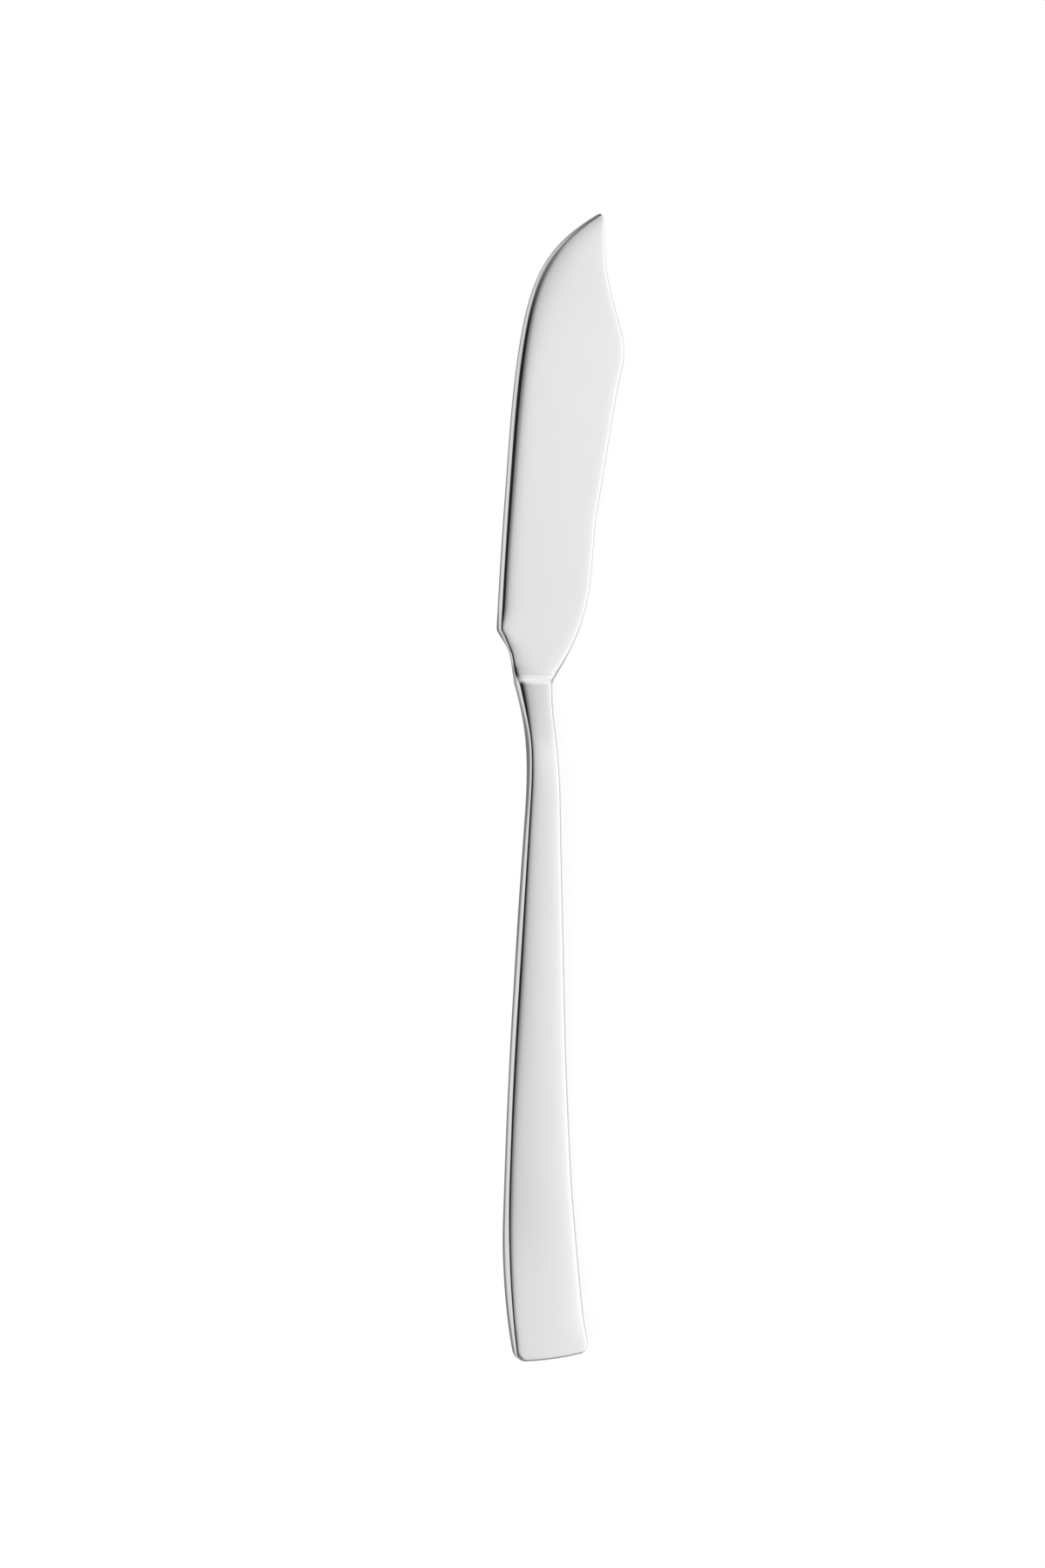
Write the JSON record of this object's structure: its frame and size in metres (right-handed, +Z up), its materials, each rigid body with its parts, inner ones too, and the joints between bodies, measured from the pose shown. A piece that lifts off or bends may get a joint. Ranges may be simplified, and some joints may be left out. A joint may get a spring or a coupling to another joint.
{
  "type": "fish knife",
  "caption": "Polished steel table fish knife: broad blunt blade with a heel notch, humped back and pointed tip, stepped up at the neck to a slim waved handle that flares to a square end.",
  "frame": {"origin": "on the flat underside of the blade, where the handle axis passes the heel corner", "axes": "+Y along the handle axis towards the tip, +Z up from the table, +X towards the humped back of the blade"},
  "size_m": [0.0277, 0.2091, 0.0066],
  "materials": {
    "polished_steel": "polished",
    "silver_braze": "satin"
  },
  "bodies": {
    "root": {"blade": "polished_steel", "handle": "polished_steel", "braze_film": "silver_braze"}
  },
  "joints": []
}
